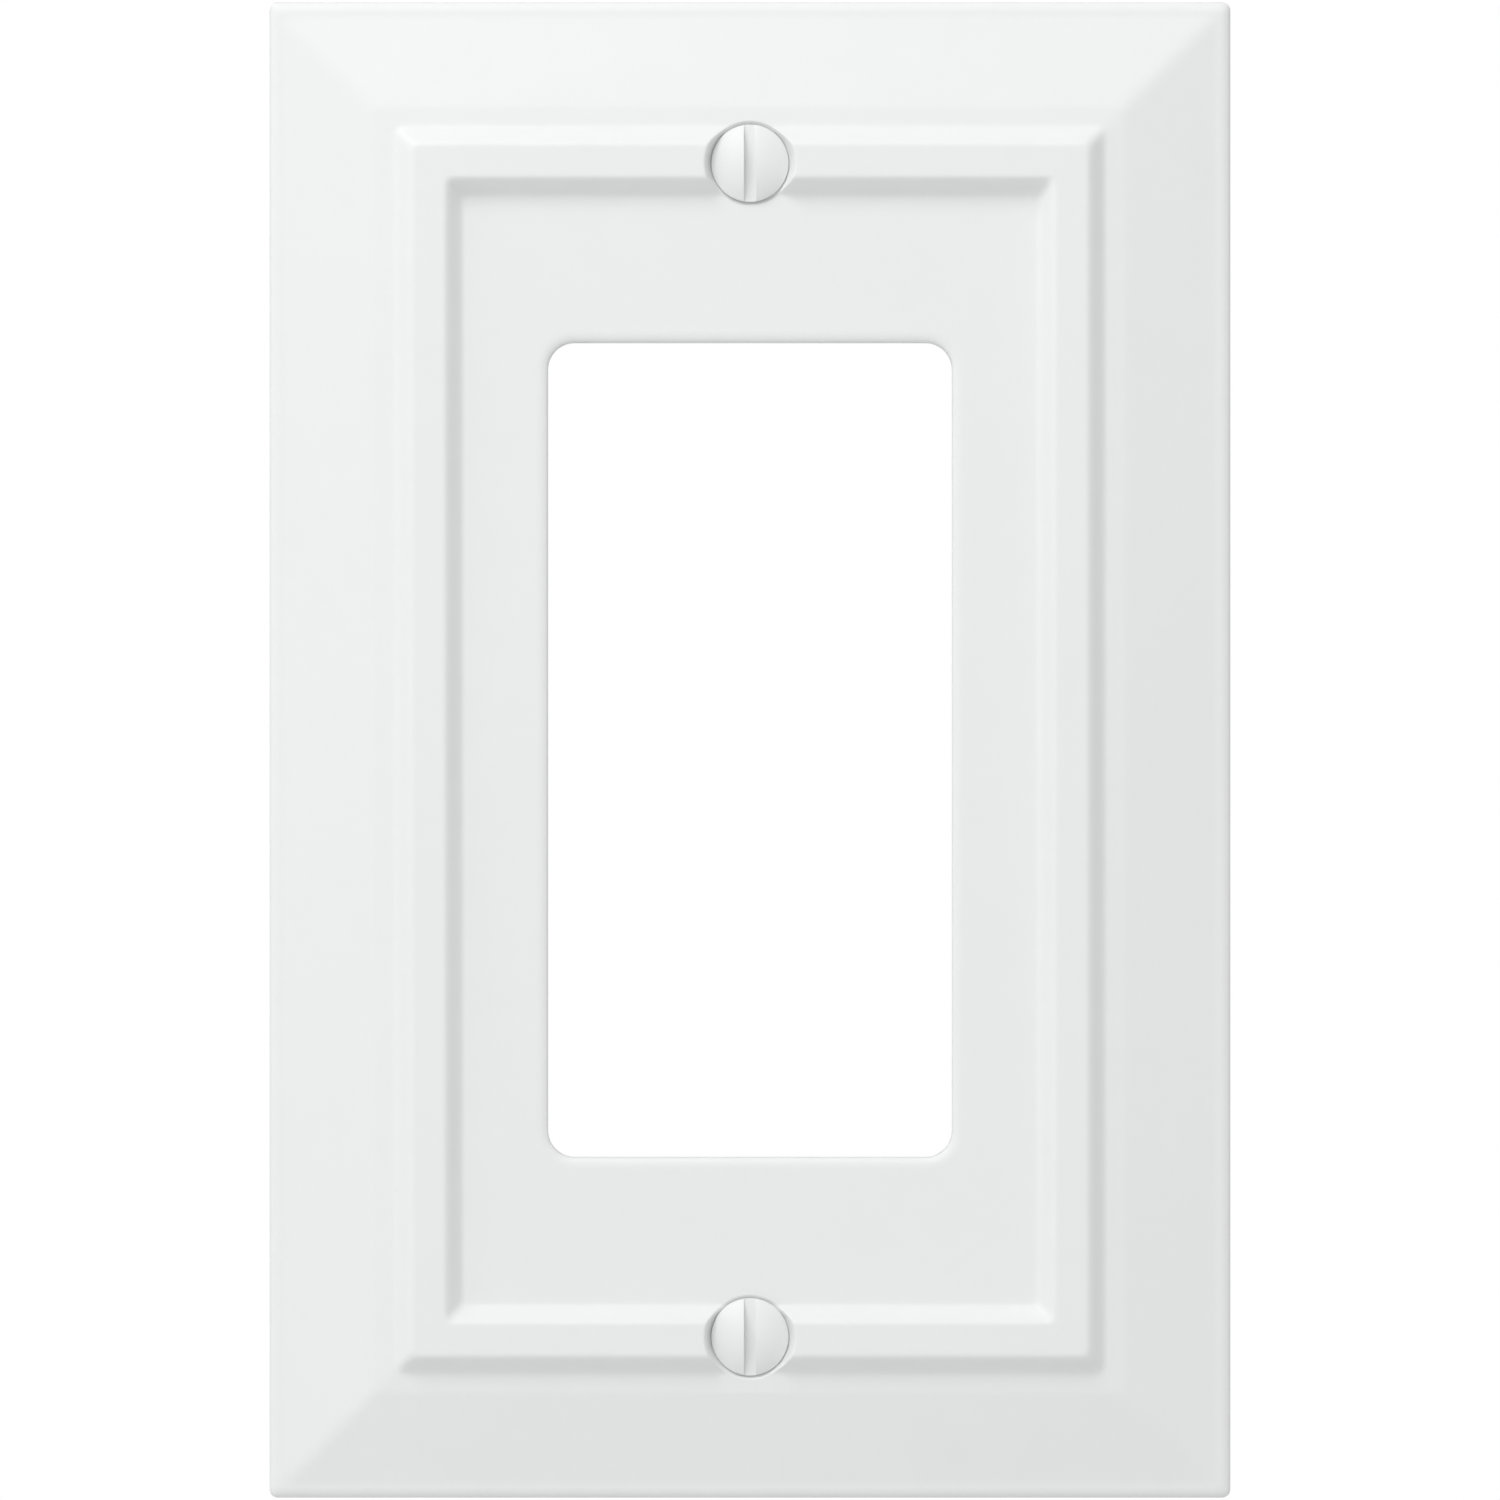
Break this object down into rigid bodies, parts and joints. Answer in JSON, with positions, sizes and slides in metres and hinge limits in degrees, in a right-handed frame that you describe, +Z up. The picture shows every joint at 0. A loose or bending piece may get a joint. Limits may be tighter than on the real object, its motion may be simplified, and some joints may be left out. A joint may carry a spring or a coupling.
{
  "type": "wall plate cover",
  "caption": "Rectangular wall plate with a sloping border, a raised stepped frame, a rounded device opening and countersunk oval-head cover screws.",
  "frame": {"origin": "centre of the device opening, on the wall plane that the plate's back rim rests against", "axes": "+X to the right as the plate is looked at, +Z up, +Y into the wall, so the front faces -Y"},
  "size_m": [0.0794, 0.0141, 0.1236],
  "materials": {
    "plate_paint": "soft satin white paint",
    "screw_metal": "satin white paint on the head, zinc plating on the shank"
  },
  "bodies": {
    "plate": {"cover_plate": "plate_paint"},
    "upper_screw": {"upper_screw": "screw_metal"},
    "lower_screw": {"lower_screw": "screw_metal"}
  },
  "joints": [
    {"name": "upper_screw_out", "type": "slide", "parent": "plate", "child": "upper_screw", "axis": [0, -1, 0], "range_m": [0, 0.016]},
    {"name": "lower_screw_out", "type": "slide", "parent": "plate", "child": "lower_screw", "axis": [0, -1, 0], "range_m": [0, 0.016]}
  ]
}
